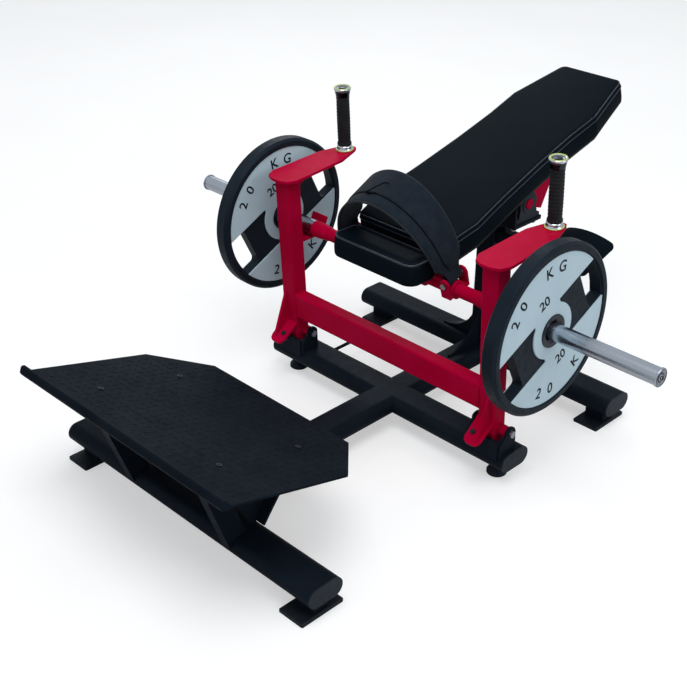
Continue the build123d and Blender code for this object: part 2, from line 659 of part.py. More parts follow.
bar_in_belt = BELT.to_local_coords(Vector(0, BAR_Y, BAR_Z))
with BuildPart() as belt_clips:
    for s in SIDES:
        for y in (-EAR_Y1, EAR_Y0):
            with BuildSketch(Plane(origin=BELT.from_local_coords((0, y, 0)), x_dir=(-1, 0, 0),
                                   z_dir=BELT.y_dir)):
                with Locations((-s * CLIP_X, 0)):
                    Circle(16)
                Polygon((-s * CLIP_X - 16, 0), (-s * CLIP_X + 16, 0), (-s * CLIP_X + 15, -42),
                        (-s * CLIP_X - 15, -42), align=None)
                with Locations((-s * CLIP_X, 0)):
                    Circle(6, mode=Mode.SUBTRACT)
            extrude(amount=EAR_Y1 - EAR_Y0)
        with BuildSketch(side_of(BELT, s * CLIP_X - 15)):
            with Locations((bar_in_belt.Y, bar_in_belt.Z)):
                Circle(25)
            with Locations((0, -37)):
                Rectangle(2 * EAR_Y1, 10)
        extrude(amount=30)
    add(bar_core, mode=Mode.SUBTRACT)

with BuildPart() as clip_pins:
    for s in SIDES:
        x = s * CLIP_X
        add(rod(6, BELT.from_local_coords((x, -EAR_Y1, 0)), BELT.from_local_coords((x, EAR_Y1, 0))))
        for e in SIDES:
            with BuildSketch(Plane(origin=BELT.from_local_coords((x, e * EAR_Y1, 0)), x_dir=(1, 0, 0),
                                   z_dir=BELT.y_dir * e)):
                RegularPolygon(8.5, 6)
            extrude(amount=6)

HIP_Y0, HIP_Y1, HIP_Z0, HIP_Z1, HIP_HALF = -64.5, 38.0, 492.0, 550.0, 146.0
with BuildPart() as hip_pad:
    with BuildSketch(Plane.XY.offset(HIP_Z0)):
        with Locations((0, (HIP_Y0 + HIP_Y1) / 2)):
            RectangleRounded(2 * HIP_HALF, HIP_Y1 - HIP_Y0, 34)
    extrude(amount=HIP_Z1 - HIP_Z0)
    fillet(hip_pad.edges().group_by(Axis.Z)[-1], 11)

with BuildPart() as hip_pad_brackets:
    for s in SIDES:
        with BuildSketch(Plane.YZ.offset(s * 88 - 5)):
            with Locations((BAR_Y, BAR_Z)):
                Circle(25)
            Polygon((HIP_Y0 + 60, HIP_Z0 - 6), (HIP_Y0 + 60, HIP_Z0 - 16), (BAR_Y - 14, BAR_Z - 14),
                    (BAR_Y + 6, BAR_Z + 10), (BAR_Y + 6, HIP_Z0 - 6), align=None)
        extrude(amount=10)
    with BuildSketch(Plane.XY.offset(HIP_Z0)):
        with Locations((0, BAR_Y)):
            Rectangle(900, 300)
    extrude(amount=80, mode=Mode.SUBTRACT)
    with BuildSketch(Plane.XY.offset(HIP_Z0 - 8)):
        with Locations((0, (HIP_Y0 + HIP_Y1) / 2)):
            RectangleRounded(2 * HIP_HALF - 44, HIP_Y1 - HIP_Y0 - 44, 16)
        with Locations(*[(s * 148, BAR_Y - 8) for s in SIDES]):    # wings towards the belt clips
            Rectangle(36, 40)
    extrude(amount=8)
    add(bar_core, mode=Mode.SUBTRACT)


def belt_band(outer_a, outer_b, thick, front, rear, foot):
    """An arched band over the hips. front and rear give its reach at the foot, above it and on top."""
    lean = radians(BELT_SHEAR)
    with BuildPart() as band:
        with BuildSketch(Plane(origin=BELT.origin, x_dir=(1, 0, 0), z_dir=BELT.y_dir * -1)):
            Ellipse(outer_a, outer_b)
            Ellipse(outer_a - thick, outer_b - thick, mode=Mode.SUBTRACT)
            with Locations((0, foot - 30)):
                Rectangle(3 * outer_a, 2 * outer_b, align=(Align.CENTER, Align.MIN), mode=Mode.INTERSECT)
        extrude(amount=100, both=True, dir=BELT.y_dir * cos(lean) + BELT.z_dir * sin(lean))
        with BuildSketch(BELT.offset(foot)):
            Rectangle(3 * outer_a, 300)
        extrude(amount=-90, mode=Mode.SUBTRACT)
        with BuildSketch(side_of(BELT, -outer_a - 10)):
            for s, reach in ((-1, front), (1, rear)):
                Polygon((s * 150, -60), (s * 150, outer_b + 70), (s * reach[2], outer_b + 70),
                        (s * reach[1], 60), (s * reach[0], 22), (s * reach[0], -60), align=None)
        extrude(amount=2 * outer_a + 20, mode=Mode.SUBTRACT)
    return band


belt = belt_band(182, 219, 7, (29, 48, 62), (29, 48, 58), 12)
belt_strap = belt_band(186, 223, 3.6, (18, 20, 29), (18, 46, 55), 60)

# ================================================================ sleeves and weight plates


def sleeve(side):
    """Rotating loading sleeve with a flange that stops the plates."""
    with BuildPart() as tube:
        with BuildSketch(Plane.XY.offset(BAR_Z)):
            with BuildLine():
                r0 = SPINDLE_R + SHAFT_GAP
                x = [BAR_HALF + 1, PLATE_X - 12.5, PLATE_X - 0.5, SLEEVE_END - 6]
                Polyline((side * x[0], BAR_Y + r0), (side * x[0], BAR_Y + SLEEVE_R),
                         (side * x[1], BAR_Y + SLEEVE_R), (side * x[1], BAR_Y + 36),
                         (side * x[2], BAR_Y + 36), (side * x[2], BAR_Y + SLEEVE_R),
                         (side * x[3], BAR_Y + SLEEVE_R), (side * x[3], BAR_Y + r0), close=True)
            make_face()
        revolve(axis=Axis((0, BAR_Y, BAR_Z), (1, 0, 0)))
    return tube


def sleeve_cap(side):
    """Turned end cap: a disc with a pressed-in spigot and a ring groove on its face."""
    with BuildPart() as cap:
        with BuildSketch(Plane.XY.offset(BAR_Z)):
            with BuildLine():
                x0, x1 = SLEEVE_END - 6, SLEEVE_END
                Polyline((side * (x0 - 12), BAR_Y), (side * (x0 - 12), BAR_Y + SPINDLE_R),
                         (side * x0, BAR_Y + SPINDLE_R), (side * x0, BAR_Y + 24),
                         (side * (x1 - 1.5), BAR_Y + 24), (side * x1, BAR_Y + 22.5),
                         (side * x1, BAR_Y + 15), (side * (x1 - 1.5), BAR_Y + 14),
                         (side * (x1 - 1.5), BAR_Y + 9), (side * x1, BAR_Y + 8),
                         (side * x1, BAR_Y), close=True)
            make_face()
        revolve(axis=Axis((0, BAR_Y, BAR_Z), (1, 0, 0)))
    return cap


def plate_plane(x):
    """A plane square to the bar at x, with its own x along the band across the plate."""
    a = radians(BAND_ANGLE)
    return Plane(origin=(x, BAR_Y, BAR_Z), x_dir=(0, cos(a), sin(a)), z_dir=(1, 0, 0))


def weight_plate(side):
    """Rubber-covered plate: round rim, thinner web, two grip slots in the band across it."""
    mid = side * (PLATE_X + PLATE_T / 2)
    with BuildPart() as plate:
        with BuildSketch(Plane.XY.offset(BAR_Z)):
            with BuildLine():
                w, h, e = PLATE_T / 2, 15, 7
                Polyline((mid - h, BAR_Y + 43), (mid - h, BAR_Y + PLATE_FACE_R),
                         (mid - w, BAR_Y + PLATE_FACE_R + 2), (mid - w, BAR_Y + PLATE_R - e),
                         (mid - w + e, BAR_Y + PLATE_R), (mid + w - e, BAR_Y + PLATE_R),
                         (mid + w, BAR_Y + PLATE_R - e), (mid + w, BAR_Y + PLATE_FACE_R + 2),
                         (mid + h, BAR_Y + PLATE_FACE_R), (mid + h, BAR_Y + 43), close=True)
            make_face()
        revolve(axis=Axis((0, BAR_Y, BAR_Z), (1, 0, 0)))
        with BuildSketch(plate_plane(mid - 40)):
            for s in SIDES:
                with Locations((s * (SLOT_R0 + PLATE_FACE_R + 20) / 2, 0)):
                    RectangleRounded(PLATE_FACE_R + 20 - SLOT_R0, 2 * BAND_HALF - 6, 14)
            Circle(PLATE_FACE_R - 3, mode=Mode.INTERSECT)
        extrude(amount=80, mode=Mode.SUBTRACT)
    return plate


def plate_faces(side):
    """Pale inlays on both sides of a plate: a hub ring joined to two segments."""
    mid = side * (PLATE_X + PLATE_T / 2)
    with BuildPart() as faces:
        for x in (mid - 19, mid + 15):
            with BuildSketch(plate_plane(x)):
                Circle(PLATE_FACE_R - 0.5)
                for s in SIDES:
                    with Locations((s * 150, 0)):
                        Rectangle(200, 2 * BAND_HALF, mode=Mode.SUBTRACT)
                Circle(PLATE_HUB_R)
                Circle(43, mode=Mode.SUBTRACT)
            extrude(amount=4)
    return faces


def plate_hub(side):
    """Steel insert with a flared mouth on each side."""
    with BuildPart() as hub:
        with BuildSketch(Plane.XY.offset(BAR_Z)):
            with BuildLine():
                x0, x1 = side * PLATE_X, side * (PLATE_X + PLATE_T)
                t = side * 6
                Polyline((x0, BAR_Y + 32), (x0 + t, BAR_Y + PLATE_BORE), (x1 - t, BAR_Y + PLATE_BORE),
                         (x1, BAR_Y + 32), (x1, BAR_Y + 43), (x0, BAR_Y + 43), close=True)
            make_face()
        revolve(axis=Axis((0, BAR_Y, BAR_Z), (1, 0, 0)))
    return hub


sleeve_left, sleeve_right = sleeve(-1), sleeve(1)
sleeve_cap_left, sleeve_cap_right = sleeve_cap(-1), sleeve_cap(1)
plate_left, plate_right = weight_plate(-1), weight_plate(1)
plate_faces_left, plate_faces_right = plate_faces(-1), plate_faces(1)
plate_hub_left, plate_hub_right = plate_hub(-1), plate_hub(1)

# ================================================================ labels and files
PIECES = dict(
    spine_beam=spine_beam, front_cross_member=front_cross_member,
    middle_cross_member=middle_cross_member, rear_cross_member=rear_cross_member,
    member_end_caps=member_end_caps, foot_risers=foot_risers, foot_pads=foot_pads,
    level_foot_left=level_foot_left, level_foot_right=level_foot_right,
    rear_post=rear_post, post_gussets=post_gussets, bearing_shelf=bearing_shelf,
    pillow_blocks=pillow_blocks, bearing_inserts=bearing_inserts, bearing_bolts=bearing_bolts,
    elbow_rest_arms=elbow_rest_arms, elbow_rests=elbow_rests,
    foot_platform=foot_platform, platform_struts=platform_struts, platform_bolts=platform_bolts,
    band_peg=band_peg, hinge_clevises=hinge_clevises, hinge_bolts=hinge_bolts,
    upright_left=upright_left, upright_right=upright_right, hinge_barrels=hinge_barrels,
    rack_beam=rack_beam, top_plates=top_plates, top_gussets=top_gussets, toe_plates=toe_plates,
    rubber_bumpers=rubber_bumpers, bumper_bolts=bumper_bolts, bar_trays=bar_trays,
    handle_posts=handle_posts, handle_grips=handle_grips, handle_ferrules=handle_ferrules,
    handle_rings=handle_rings,
    pivot_shaft=pivot_shaft, lever_arm=lever_arm, pad_brackets=pad_brackets,
    back_pad_board=back_pad_board, back_pad=back_pad, lift_bar=lift_bar, bar_collars=bar_collars,
    belt_clips=belt_clips, clip_pins=clip_pins, hip_pad=hip_pad,
    hip_pad_brackets=hip_pad_brackets, belt=belt, belt_strap=belt_strap,
    sleeve_left=sleeve_left, sleeve_right=sleeve_right,
    sleeve_cap_left=sleeve_cap_left, sleeve_cap_right=sleeve_cap_right,
    plate_left=plate_left, plate_right=plate_right,
    plate_faces_left=plate_faces_left, plate_faces_right=plate_faces_right,
    plate_hub_left=plate_hub_left, plate_hub_right=plate_hub_right,
)
for name, piece in PIECES.items():
    piece.part.label = name
    export_step(piece.part, f"parts/{name}.step")
print(len(PIECES), "parts written")
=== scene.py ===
import json
import math
import random

import bmesh
import bpy
from mathutils import Matrix, Vector


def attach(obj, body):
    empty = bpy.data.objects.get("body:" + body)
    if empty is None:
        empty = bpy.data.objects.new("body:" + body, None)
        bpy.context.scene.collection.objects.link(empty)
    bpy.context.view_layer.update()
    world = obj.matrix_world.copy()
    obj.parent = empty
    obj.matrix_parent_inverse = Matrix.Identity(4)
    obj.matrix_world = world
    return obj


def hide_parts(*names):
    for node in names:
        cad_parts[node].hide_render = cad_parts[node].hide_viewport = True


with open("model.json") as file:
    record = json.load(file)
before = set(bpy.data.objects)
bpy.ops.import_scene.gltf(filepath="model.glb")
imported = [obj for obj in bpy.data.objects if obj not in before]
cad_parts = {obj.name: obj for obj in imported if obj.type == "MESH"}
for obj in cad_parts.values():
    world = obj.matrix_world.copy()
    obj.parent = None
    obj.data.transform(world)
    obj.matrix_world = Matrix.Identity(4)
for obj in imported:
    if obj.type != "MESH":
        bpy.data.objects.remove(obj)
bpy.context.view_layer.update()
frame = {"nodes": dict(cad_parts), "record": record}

NODES = frame["nodes"]
SCENE = bpy.context.scene


# ------------------------------------------------------------------ material helpers
class Shader:
    """A Principled material that grows by small calls."""

    def __init__(self, name, color, rough=0.5, metal=0.0, **sockets):
        self.mat = bpy.data.materials.new(name)
        self.mat.use_nodes = True
        self.tree = self.mat.node_tree
        self.bsdf = self.tree.nodes["Principled BSDF"]
        self.set("Base Color", (*color, 1))
        self.set("Roughness", rough)
        self.set("Metallic", metal)
        for key, value in sockets.items():
            self.set(key.replace("_", " "), value)
        self.coord = self.node("ShaderNodeTexCoord").outputs["Object"]
        self.height = None

    def node(self, kind, **props):
        n = self.tree.nodes.new(kind)
        for key, value in props.items():
            setattr(n, key, value)
        return n

    def link(self, a, b):
        self.tree.links.new(a, b)

    def set(self, socket, value):
        self.bsdf.inputs[socket].default_value = value

    def math(self, op, a, b):
        n = self.node("ShaderNodeMath", operation=op)
        self.link(a, n.inputs[0])
        self.link(b, n.inputs[1])
        return n.outputs[0]

    def scaled(self, x, y, z, turn=(0, 0, 0)):
        n = self.node("ShaderNodeMapping")
        n.inputs["Scale"].default_value = (x, y, z)
        n.inputs["Rotation"].default_value = turn
        self.link(self.coord, n.inputs["Vector"])
        return n.outputs[0]

    def noise(self, scale, detail=3, rough=0.55, vector=None):
        n = self.node("ShaderNodeTexNoise")
        n.inputs["Scale"].default_value = scale
        n.inputs["Detail"].default_value = detail
        n.inputs["Roughness"].default_value = rough
        self.link(vector or self.coord, n.inputs["Vector"])
        return n.outputs["Fac"]

    def voronoi(self, scale, feature="F1"):
        n = self.node("ShaderNodeTexVoronoi", feature=feature)
        n.inputs["Scale"].default_value = scale
        self.link(self.coord, n.inputs["Vector"])
        return n.outputs["Distance"]

    def wave(self, scale, vector, direction="X"):
        n = self.node("ShaderNodeTexWave", wave_type="BANDS", bands_direction=direction)
        n.inputs["Scale"].default_value = scale
        self.link(vector, n.inputs["Vector"])
        return n.outputs["Fac"]

    def span(self, value, lo, hi, from_lo=0.0, from_hi=1.0):
        n = self.node("ShaderNodeMapRange")
        for key, v in (("From Min", from_lo), ("From Max", from_hi), ("To Min", lo), ("To Max", hi)):
            n.inputs[key].default_value = v
        self.link(value, n.inputs["Value"])
        return n.outputs[0]

    def roughness(self, value, lo, hi):
        self.link(self.span(value, lo, hi, 0.3, 0.7), self.bsdf.inputs["Roughness"])
        return self

    def tint(self, value, color_a, color_b):
        ramp = self.node("ShaderNodeValToRGB")
        low, high = ramp.color_ramp.elements
        low.position, high.position = 0.35, 0.65
        low.color, high.color = (*color_a, 1), (*color_b, 1)
        self.link(value, ramp.inputs[0])
        self.link(ramp.outputs[0], self.bsdf.inputs["Base Color"])
        return self

    def bump(self, value, strength, distance):
        n = self.node("ShaderNodeBump")
        n.inputs["Strength"].default_value = strength
        n.inputs["Distance"].default_value = distance
        self.link(value, n.inputs["Height"])
        if self.height is not None:
            self.link(self.height, n.inputs["Normal"])
        self.height = n.outputs[0]
        self.link(self.height, self.bsdf.inputs["Normal"])
        return self


COOL = (0.50, 0.72, 1.0, 1)          # the sheen of the black finishes


def powder_coat(name, dark, light, rough=0.42, spec=0.3):
    s = Shader(name, dark, rough, Specular_IOR_Level=spec, Specular_Tint=COOL)
    s.tint(s.noise(9, 4), dark, light)
    s.roughness(s.noise(60, 3), rough - 0.06, rough + 0.07)
    s.bump(s.noise(900, 2), 0.10, 0.0004)
    s.bump(s.noise(160, 2), 0.05, 0.0006)
    return s.mat


def red_paint():
    s = Shader("red_powder", (0.42, 0.0008, 0.030), 0.34, Specular_IOR_Level=0.02,
               Specular_Tint=(1.0, 0.35, 0.6, 1))
    s.tint(s.noise(7, 4), (0.40, 0.0006, 0.026), (0.46, 0.0012, 0.040))
    s.roughness(s.noise(45, 3), 0.34, 0.44)
    s.bump(s.noise(420, 2), 0.07, 0.0004)
    return s.mat


def rubber(name, color=(0.007, 0.008, 0.010), rough=0.55, grain=700, spec=0.25):
    s = Shader(name, color, rough, Specular_IOR_Level=spec, Specular_Tint=COOL)
    s.tint(s.noise(14, 4), color, tuple(c * 1.5 for c in color))
    s.roughness(s.noise(80, 4), rough - 0.08, rough + 0.1)
    s.bump(s.noise(grain, 3), 0.18, 0.0005)
    return s.mat


def grip_rubber():
    s = Shader("grip_rubber", (0.006, 0.008, 0.010), 0.55, Specular_IOR_Level=0.2)
    s.tint(s.noise(30, 3), (0.006, 0.007, 0.008), (0.013, 0.014, 0.016))
    one = s.wave(75, s.scaled(1, 1, 1, (0, math.radians(45), 0)), "Z")
    two = s.wave(75, s.scaled(1, 1, 1, (0, math.radians(-45), 0)), "Z")
    s.bump(s.math("MINIMUM", one, two), 0.7, 0.0012)
    s.roughness(s.noise(200, 3), 0.45, 0.62)
    return s.mat


def leather():
    s = Shader("black_vinyl", (0.003, 0.006, 0.009), 0.44, Specular_IOR_Level=0.016,
               Specular_Tint=COOL)
    s.tint(s.noise(5, 5), (0.0028, 0.0058, 0.0090), (0.0036, 0.0070, 0.0108))
    s.roughness(s.noise(300, 3), 0.44, 0.50)
    s.bump(s.voronoi(700, "DISTANCE_TO_EDGE"), 0.20, 0.0004)
    return s.mat


def webbing():
    s = Shader("belt_webbing", (0.008, 0.012, 0.018), 0.7, Specular_IOR_Level=0.10,
               Specular_Tint=COOL, Sheen_Weight=0.05,
               Sheen_Roughness=0.5)
    s.tint(s.noise(40, 4), (0.0075, 0.0110, 0.0165), (0.0110, 0.0160, 0.0235))
    warp = s.wave(190, s.scaled(1, 1, 1), "X")
    weft = s.wave(230, s.scaled(1, 1, 1), "Y")
    s.bump(s.math("MULTIPLY", warp, weft), 0.3, 0.0006)
    return s.mat


def binding(name="edge_binding", color=(0.007, 0.009, 0.012), rough=0.6, spec=0.25):
    s = Shader(name, color, rough, Specular_IOR_Level=spec)
    s.tint(s.noise(60, 4), tuple(c * 0.8 for c in color), tuple(c * 1.4 for c in color))
    s.bump(s.noise(900, 2), 0.2, 0.0004)
    return s.mat


def turned_steel(name, color, rough, axis_scale=(1400, 1.5, 1.5), bump=0.004):
    s = Shader(name, color, rough, 1.0)
    lines = s.noise(1.0, 3, 0.5, s.scaled(*axis_scale))
    s.roughness(lines, rough - 0.015, rough + 0.02)
    s.tint(lines, tuple(c * 0.96 for c in color), color)
    s.bump(lines, bump, 0.0001)
    return s.mat


def chrome():
    s = Shader("polished_chrome", (0.70, 0.72, 0.74), 0.12, 1.0)
    s.tint(s.noise(9, 3), (0.66, 0.68, 0.70), (0.72, 0.74, 0.76))
    s.roughness(s.noise(60, 3), 0.09, 0.18)
    return s.mat


def zinc():
    s = Shader("zinc_bolt", (0.42, 0.43, 0.45), 0.32, 1.0)
    s.tint(s.noise(120, 3), (0.36, 0.37, 0.39), (0.46, 0.47, 0.50))
    s.roughness(s.noise(260, 3), 0.25, 0.45)
    s.bump(s.noise(800, 2), 0.1, 0.0003)
    return s.mat


def pale_inlay():
    s = Shader("pale_inlay", (0.40, 0.54, 0.61), 0.42, Specular_IOR_Level=0.35)
    s.tint(s.noise(10, 4), (0.46, 0.60, 0.67), (0.50, 0.64, 0.71))
    s.roughness(s.noise(120, 3), 0.36, 0.48)
    s.bump(s.noise(500, 2), 0.04, 0.0003)
    return s.mat


def lime():
    s = Shader("lime_ring", (0.46, 0.60, 0.10), 0.35, Coat_Weight=0.3)
    s.tint(s.noise(50, 3), (0.42, 0.55, 0.08), (0.50, 0.66, 0.13))
    s.bump(s.noise(900, 2), 0.06, 0.0003)
    return s.mat


def plywood():
    s = Shader("black_board", (0.012, 0.011, 0.010), 0.6, Specular_IOR_Level=0.25)
    s.tint(s.noise(1, 5, 0.6, s.scaled(6, 60, 60)), (0.008, 0.008, 0.008), (0.018, 0.016, 0.014))
    s.bump(s.noise(300, 3), 0.15, 0.0005)
    return s.mat


MATS = {
    "frame_black": powder_coat("black_powder", (0.0052, 0.0082, 0.0130), (0.0078, 0.0114, 0.0174),
                               spec=0.05),
    "platform_black": powder_coat("platform_powder", (0.0034, 0.0058, 0.0096),
                                  (0.0056, 0.0090, 0.0142), 0.5, 0.035),
    "rack_red": red_paint(),
    "rubber": rubber("foot_rubber"),
    "grip": grip_rubber(),
    "cap_black": rubber("plug_plastic", (0.009, 0.011, 0.014), 0.42, 900),
    "chrome": chrome(),
    "zinc": zinc(),
    "sleeve_steel": turned_steel("turned_chrome", (0.50, 0.54, 0.60), 0.22),
    "hub_steel": turned_steel("hub_metal", (0.045, 0.05, 0.06), 0.30),
    "bearing_steel": powder_coat("cast_paint", (0.008, 0.010, 0.013), (0.013, 0.016, 0.020), 0.5),
    "plate_rubber": rubber("plate_rubber", (0.006, 0.009, 0.0135), 0.46, 600, 0.16),
    "plate_pale": pale_inlay(),
    "ring_lime": lime(),
    "upholstery": leather(),
    "webbing": webbing(),
    "board": plywood(),
}
SLOT_OF = {row["node"]: row["material_slot"] for row in frame["record"]["subparts"]}
MATS["binding"] = binding()
# the piping cords are real, but their lighter bluish colour is a painted highlight along the cushion edges
MATS["piping"] = binding("cushion_piping", (0.014, 0.020, 0.034), 0.30, 0.35)
# near-black cord: real dark stitching on the belt, and painted shade in the sleeve cap grooves
MATS["dark_seam"] = binding("dark_seam", (0.0012, 0.0014, 0.0018), 0.8, 0.05)
MATS["dark_chrome"] = turned_steel("dark_chrome", (0.045, 0.048, 0.055), 0.12)
# record slot of each finish that the record itself does not name
STAND_IN = {"binding": "webbing", "dark_seam": "webbing", "piping": "upholstery", "dark_chrome": "chrome"}
HARD = {"frame_black", "platform_black", "rack_red", "bearing_steel", "plate_rubber", "cap_black",
        "plate_pale"}


def dress(name):
    """Gives a CAD node its finish, and a small softened edge where it is hard metal or rubber."""
    obj = NODES[name]
    obj.data.materials.clear()
    obj.data.materials.append(MATS[SLOT_OF[name]])
    if SLOT_OF[name] in HARD:
        weld = obj.modifiers.new("weld", "WELD")
        weld.merge_threshold = 0.00002
        bevel = obj.modifiers.new("edge", "BEVEL")
        bevel.width, bevel.segments, bevel.limit_method = 0.0009, 2, "ANGLE"
        bevel.angle_limit = math.radians(38)
        bevel.use_clamp_overlap = True
        even = obj.modifiers.new("normals", "WEIGHTED_NORMAL")
        even.keep_sharp = True


for node in NODES:
    dress(node)

# ------------------------------------------------------------------ geometry helpers
MM = 0.001

# places shared with the CAD model, millimetres
BAR_Y, BAR_Z = 60.5, 463.0                   # axis of the bar, the sleeves and the plates
RACK_X, HANDLE_Y = 366.0, 214.0              # upright and handle, half apart and along the top plate
HANDLE_FOOT, GRIP_Z0, GRIP_Z1 = 489.2, 505.0, 646.0
PLATE_X, PLATE_HALF, PLATE_TURN = 476.0, 19.05, 26.3
POST_Y = 439.5
REST_X, REST_HALF, REST_RADIUS = 278.0, 86.0, 205.0
SIDES = ((-1, "left"), (1, "right"))


class Frame:
    """A local frame in millimetres: x along X, y up the slope, z square to both."""

    def __init__(self, y, z, tilt):
        a = math.radians(tilt)
        self.origin = Vector((0, y, z))
        self.x = Vector((1, 0, 0))
        self.y = Vector((0, math.cos(a), math.sin(a)))
        self.z = Vector((0, -math.sin(a), math.cos(a)))

    def at(self, x, y, z=0.0):
        return (self.origin + self.x * x + self.y * y + self.z * z) * MM


PLATFORM = Frame(-756.5, 335.0, -15.5)
PAD = Frame(73.5, 578.5, 16.5)
HIP = Frame(0.0, 550.0, 0.0)
BELT = Frame(55.3, 494.0, 16.0)
REST = Frame(POST_Y, 492.0, 17.0)
RACK = Frame(27.5, 146.0, 3.5)


def build(name, verts, faces, material, body):
    """One mesh object that rides on a body."""
    mesh = bpy.data.meshes.new(name)
    mesh.from_pydata([tuple(v) for v in verts], [], faces)
    mesh.validate()
    bm = bmesh.new()
    bm.from_mesh(mesh)
    bmesh.ops.recalc_face_normals(bm, faces=bm.faces)
    bm.to_mesh(mesh)
    bm.free()
    mesh.polygons.foreach_set("use_smooth", [True] * len(mesh.polygons))
    obj = bpy.data.objects.new(name, mesh)
    SCENE.collection.objects.link(obj)
    obj.data.materials.append(MATS[material])
    STAND_IN.get(material, material)
    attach(obj, body)
    return obj


def skin(rings, loop=False, capped=False):
    """Quads between closed rings of equal length; loop joins the last to the first, capped fills both."""
    n, last = len(rings[0]), len(rings) - 1
    verts = [v for ring in rings for v in ring]
    faces = []
    pairs = [(i, i + 1) for i in range(last)] + ([(last, 0)] if loop else [])
    for i, j in pairs:
        for k in range(n):
            m = (k + 1) % n
            faces.append((i * n + k, i * n + m, j * n + m, j * n + k))
    if capped:
        faces += [tuple(range(n)), tuple(last * n + k for k in range(n))]
    return verts, faces



def tube(name, points, radius, material, body, loop=True, sides=8, wobble=0.0, seed=1):
    """A round cord along a line of points, for piping, bindings and weld beads."""
    chance = random.Random(seed)
    rings, count = [], len(points)
    for i, p in enumerate(points):
        a = points[(i - 1) % count] if loop or i > 0 else p
        b = points[(i + 1) % count] if loop or i < count - 1 else p
        t = (b - a).normalized()
        u = t.cross(Vector((0.13, 0.21, 0.97))).normalized()
        v = t.cross(u)
        r = radius * MM * (1 + wobble * chance.uniform(-1, 1))
        rings.append([p + (u * math.cos(k * math.tau / sides) + v * math.sin(k * math.tau / sides)) * r
                      for k in range(sides)])
    return build(name, *skin(rings, loop), material, body)


def rounded(corners, inset, steps=9, spacing=9.0):
    """A convex outline moved inwards, its corners rounded: corners are (x, y, radius)."""
    n = len(corners)
    lines = []
    for i in range(n):
        a, b = Vector(corners[i][:2]), Vector(corners[(i + 1) % n][:2])
        d = (b - a).normalized()
        lines.append((a + Vector((-d.y, d.x)) * inset, d))
    pts = []
    for i in range(n):
        (p, d), (q, e) = lines[i - 1], lines[i]
        cross = d.x * e.y - d.y * e.x
        t = ((q - p).x * e.y - (q - p).y * e.x) / cross
        pts.append((p + d * t, d, e))
    out = []
    for i in range(n):
        corner, d, e = pts[i]
        turn = math.acos(max(-1, min(1, d.dot(e))))
        r = max(corners[i][2] - inset, 3.0)
        cut = r * math.tan(turn / 2)
        centre = corner - d * cut + Vector((-d.y, d.x)) * r
        spoke = corner - d * cut - centre
        start = math.atan2(spoke.y, spoke.x)
        for k in range(steps + 1):
            a = start + turn * k / steps
            out.append(centre + Vector((math.cos(a), math.sin(a))) * r)
        here, there = out[-1], pts[(i + 1) % n]
        r2 = max(corners[(i + 1) % n][2] - inset, 3.0)
        turn2 = math.acos(max(-1, min(1, there[1].dot(there[2]))))
        goal = there[0] - there[1] * r2 * math.tan(turn2 / 2)
        base = (Vector(corners[(i + 1) % n][:2]) - Vector(corners[i][:2])).length
        parts = max(2, int(base / spacing))
        out += [here.lerp(goal, k / parts) for k in range(1, parts)]
    return out


def cushion(name, corners, depth, edge, crown, place, body, nodes, seed, reach, pucker=0.5):
    """A stuffed cushion: soft upper edge, crowned top and slight puckers along the edge.

    The levels give (inset, height) from the underside to the top; reach is the last inset, which
    stays under half the short side."""
    chance = random.Random(seed)
    phase = [chance.uniform(0, math.tau) for _ in range(3)]
    levels = [(7, -depth), (2.5, -depth + 1), (0.6, -depth + 4)]
    top_seam = -edge - 2
    for k in range(1, 9):
        z = -depth + 4 + (depth - 4 + top_seam) * k / 9
        levels.append((-1.2 * math.sin(math.pi * k / 9), z))
    for k in range(0, 10):
        a = math.pi / 2 * k / 9
        levels.append((edge * (1 - math.cos(a)), top_seam + 2 + (edge - 3.2) * math.sin(a)))
    for k in range(1, 8):
        f = k / 7
        levels.append((edge + (reach - edge) * f, -3.2 + (3.2 + crown) * math.sin(math.pi / 2 * f) ** 0.8))
    rings = []
    for inset, z in levels:
        ring = []
        outline = rounded(corners, inset)
        for k, p in enumerate(outline):
            s = k / len(outline) * math.tau
            wave = (math.sin(23 * s + phase[0]) + 0.7 * math.sin(41 * s + phase[1])
                    + math.sin(7 * s + phase[2]))
            fade = math.exp(-((z + edge) / 9.0) ** 2)
            ring.append(place(p.x, p.y, z + pucker * wave * fade * 0.55))
        rings.append(ring)
    obj = build(name, *skin(rings, capped=True), "upholstery", body)
    if nodes:
        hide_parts(*nodes)


def lathe(name, profile, place, material, body, steps=48, hollow=False):
    """Turns (radius, height) pairs about a local axis; a hollow profile closes on itself."""
    rings = []
    for r, h in profile:
        rings.append([place(r * math.cos(k * math.tau / steps), r * math.sin(k * math.tau / steps), h)
                      for k in range(steps)])
    return build(name, *skin(rings, loop=hollow, capped=not hollow), material, body)


# ------------------------------------------------------------------ soft goods
# one side of the back pad: (half width, distance along the pad, corner radius)
PAD_PLAN = [(150, -30, 14), (157, 20, 30), (166, 92, 34), (154, 220, 60), (144, 380, 60), (140, 520, 60),
            (144, 635, 22), (103, 821.1, 24)]
PAD_DEPTH = 66.0


